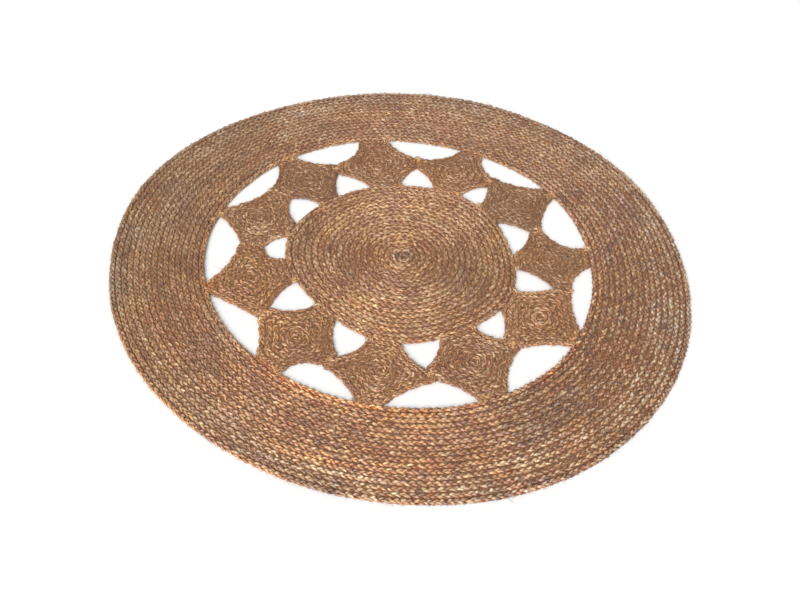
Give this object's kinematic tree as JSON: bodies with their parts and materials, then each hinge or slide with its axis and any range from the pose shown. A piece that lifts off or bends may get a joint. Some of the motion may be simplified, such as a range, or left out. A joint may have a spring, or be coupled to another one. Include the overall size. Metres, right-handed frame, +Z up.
{
  "type": "braided jute rug",
  "caption": "Round flat rug of braided jute: a solid centre disc, a band of small hollow-sided squares with open gaps round it, and a wide outer ring.",
  "frame": {"origin": "middle of the centre disc, on the underside that rests on the floor", "axes": "+Z up through the rug's thickness, +X to the right and +Y away from the viewer in the picture"},
  "size_m": [1.2001, 1.199, 0.009],
  "materials": {
    "ring_jute": "rough natural jute braid, golden brown to grey brown",
    "disc_jute": "rough natural jute braid, golden brown",
    "square_jute": "rough natural jute braid, brown"
  },
  "bodies": {
    "root": {"outer_ring": "ring_jute", "centre_disc": "disc_jute", "square_01": "square_jute", "square_02": "square_jute", "square_03": "square_jute", "square_04": "square_jute", "square_05": "square_jute", "square_06": "square_jute", "square_07": "square_jute", "square_08": "square_jute", "square_09": "square_jute", "square_10": "square_jute", "square_11": "square_jute"}
  },
  "joints": []
}
